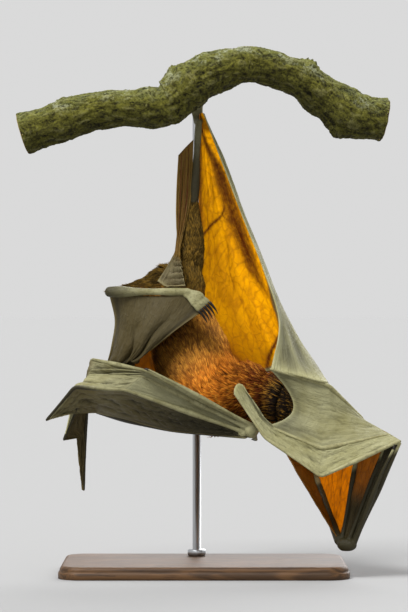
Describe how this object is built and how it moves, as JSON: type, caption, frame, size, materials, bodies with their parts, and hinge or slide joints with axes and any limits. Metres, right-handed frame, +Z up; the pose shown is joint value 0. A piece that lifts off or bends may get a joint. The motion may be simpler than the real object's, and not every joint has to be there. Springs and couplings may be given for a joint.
{
  "type": "fruit bat model",
  "caption": "Life-size still model of a fruit bat hanging by one foot from a cut branch, wings half folded in front of its body, on a plain display stand",
  "frame": {"origin": "On the underside of the base, under the middle of the branch", "axes": "+Z up, the belly of the bat faces -Y, its right side is towards +X"},
  "size_m": [0.358, 0.1692, 0.4957],
  "materials": {
    "fur": "matt chestnut fur with straw-coloured tips",
    "dark_fur": "matt dark brown short fur",
    "eye": "wet and glossy dark brown",
    "bare_skin": "dark olive grey skin over bone, slight sheen",
    "membrane": "thin leathery grey-olive skin, finely wrinkled, glows orange with light behind it",
    "bark": "rough mossy bark with pale lichen",
    "steel": "satin steel rod",
    "base": "dark stained wood under satin varnish"
  },
  "bodies": {
    "root": {"trunk": "fur", "neck": "fur", "thigh_right": "fur", "thigh_left": "fur", "wing_right_upper_arm": "fur", "wing_left_upper_arm": "fur", "head": "dark_fur", "ear_right": "dark_fur", "ear_left": "dark_fur", "eye_right": "eye", "eye_left": "eye", "foot_right": "bare_skin", "foot_left": "bare_skin", "shank_right": "bare_skin", "shank_left": "bare_skin", "wing_right_forearm": "bare_skin", "wing_right_digit_2": "bare_skin", "wing_right_thumb": "bare_skin", "wing_right_digit_3_metacarpal": "bare_skin", "wing_right_digit_3_phalanx_1": "bare_skin", "wing_right_digit_3_phalanx_2": "bare_skin", "wing_right_digit_4_metacarpal": "bare_skin", "wing_right_digit_4_phalanx_1": "bare_skin", "wing_right_digit_4_phalanx_2": "bare_skin", "wing_right_digit_5_metacarpal": "bare_skin", "wing_right_digit_5_phalanx_1": "bare_skin", "wing_right_digit_5_phalanx_2": "bare_skin", "wing_left_forearm": "bare_skin", "wing_left_digit_2": "bare_skin", "wing_left_thumb": "bare_skin", "wing_left_digit_3_metacarpal": "bare_skin", "wing_left_digit_3_phalanx_1": "bare_skin", "wing_left_digit_3_phalanx_2": "bare_skin", "wing_left_digit_4_metacarpal": "bare_skin", "wing_left_digit_4_phalanx_1": "bare_skin", "wing_left_digit_4_phalanx_2": "bare_skin", "wing_left_digit_5_metacarpal": "bare_skin", "wing_left_digit_5_phalanx_1": "bare_skin", "wing_left_digit_5_phalanx_2": "bare_skin", "tail_skin": "membrane", "wing_right_propatagium": "membrane", "wing_right_palm_34": "membrane", "wing_right_palm_45": "membrane", "wing_right_tips_34": "membrane", "wing_right_tips_45": "membrane", "wing_left_propatagium": "membrane", "wing_left_palm_34": "membrane", "wing_left_palm_45": "membrane", "wing_left_tips_34": "membrane", "wing_left_tips_45": "membrane", "wing_right_plagiopatagium_upper": "membrane", "wing_right_plagiopatagium_lower": "membrane", "wing_left_plagiopatagium_leg": "membrane", "wing_left_plagiopatagium_flank": "membrane", "wing_left_plagiopatagium_hand": "membrane", "perch_branch": "bark", "stand_rod": "steel", "stand_arm": "steel", "stand_base": "base"}
  },
  "joints": []
}
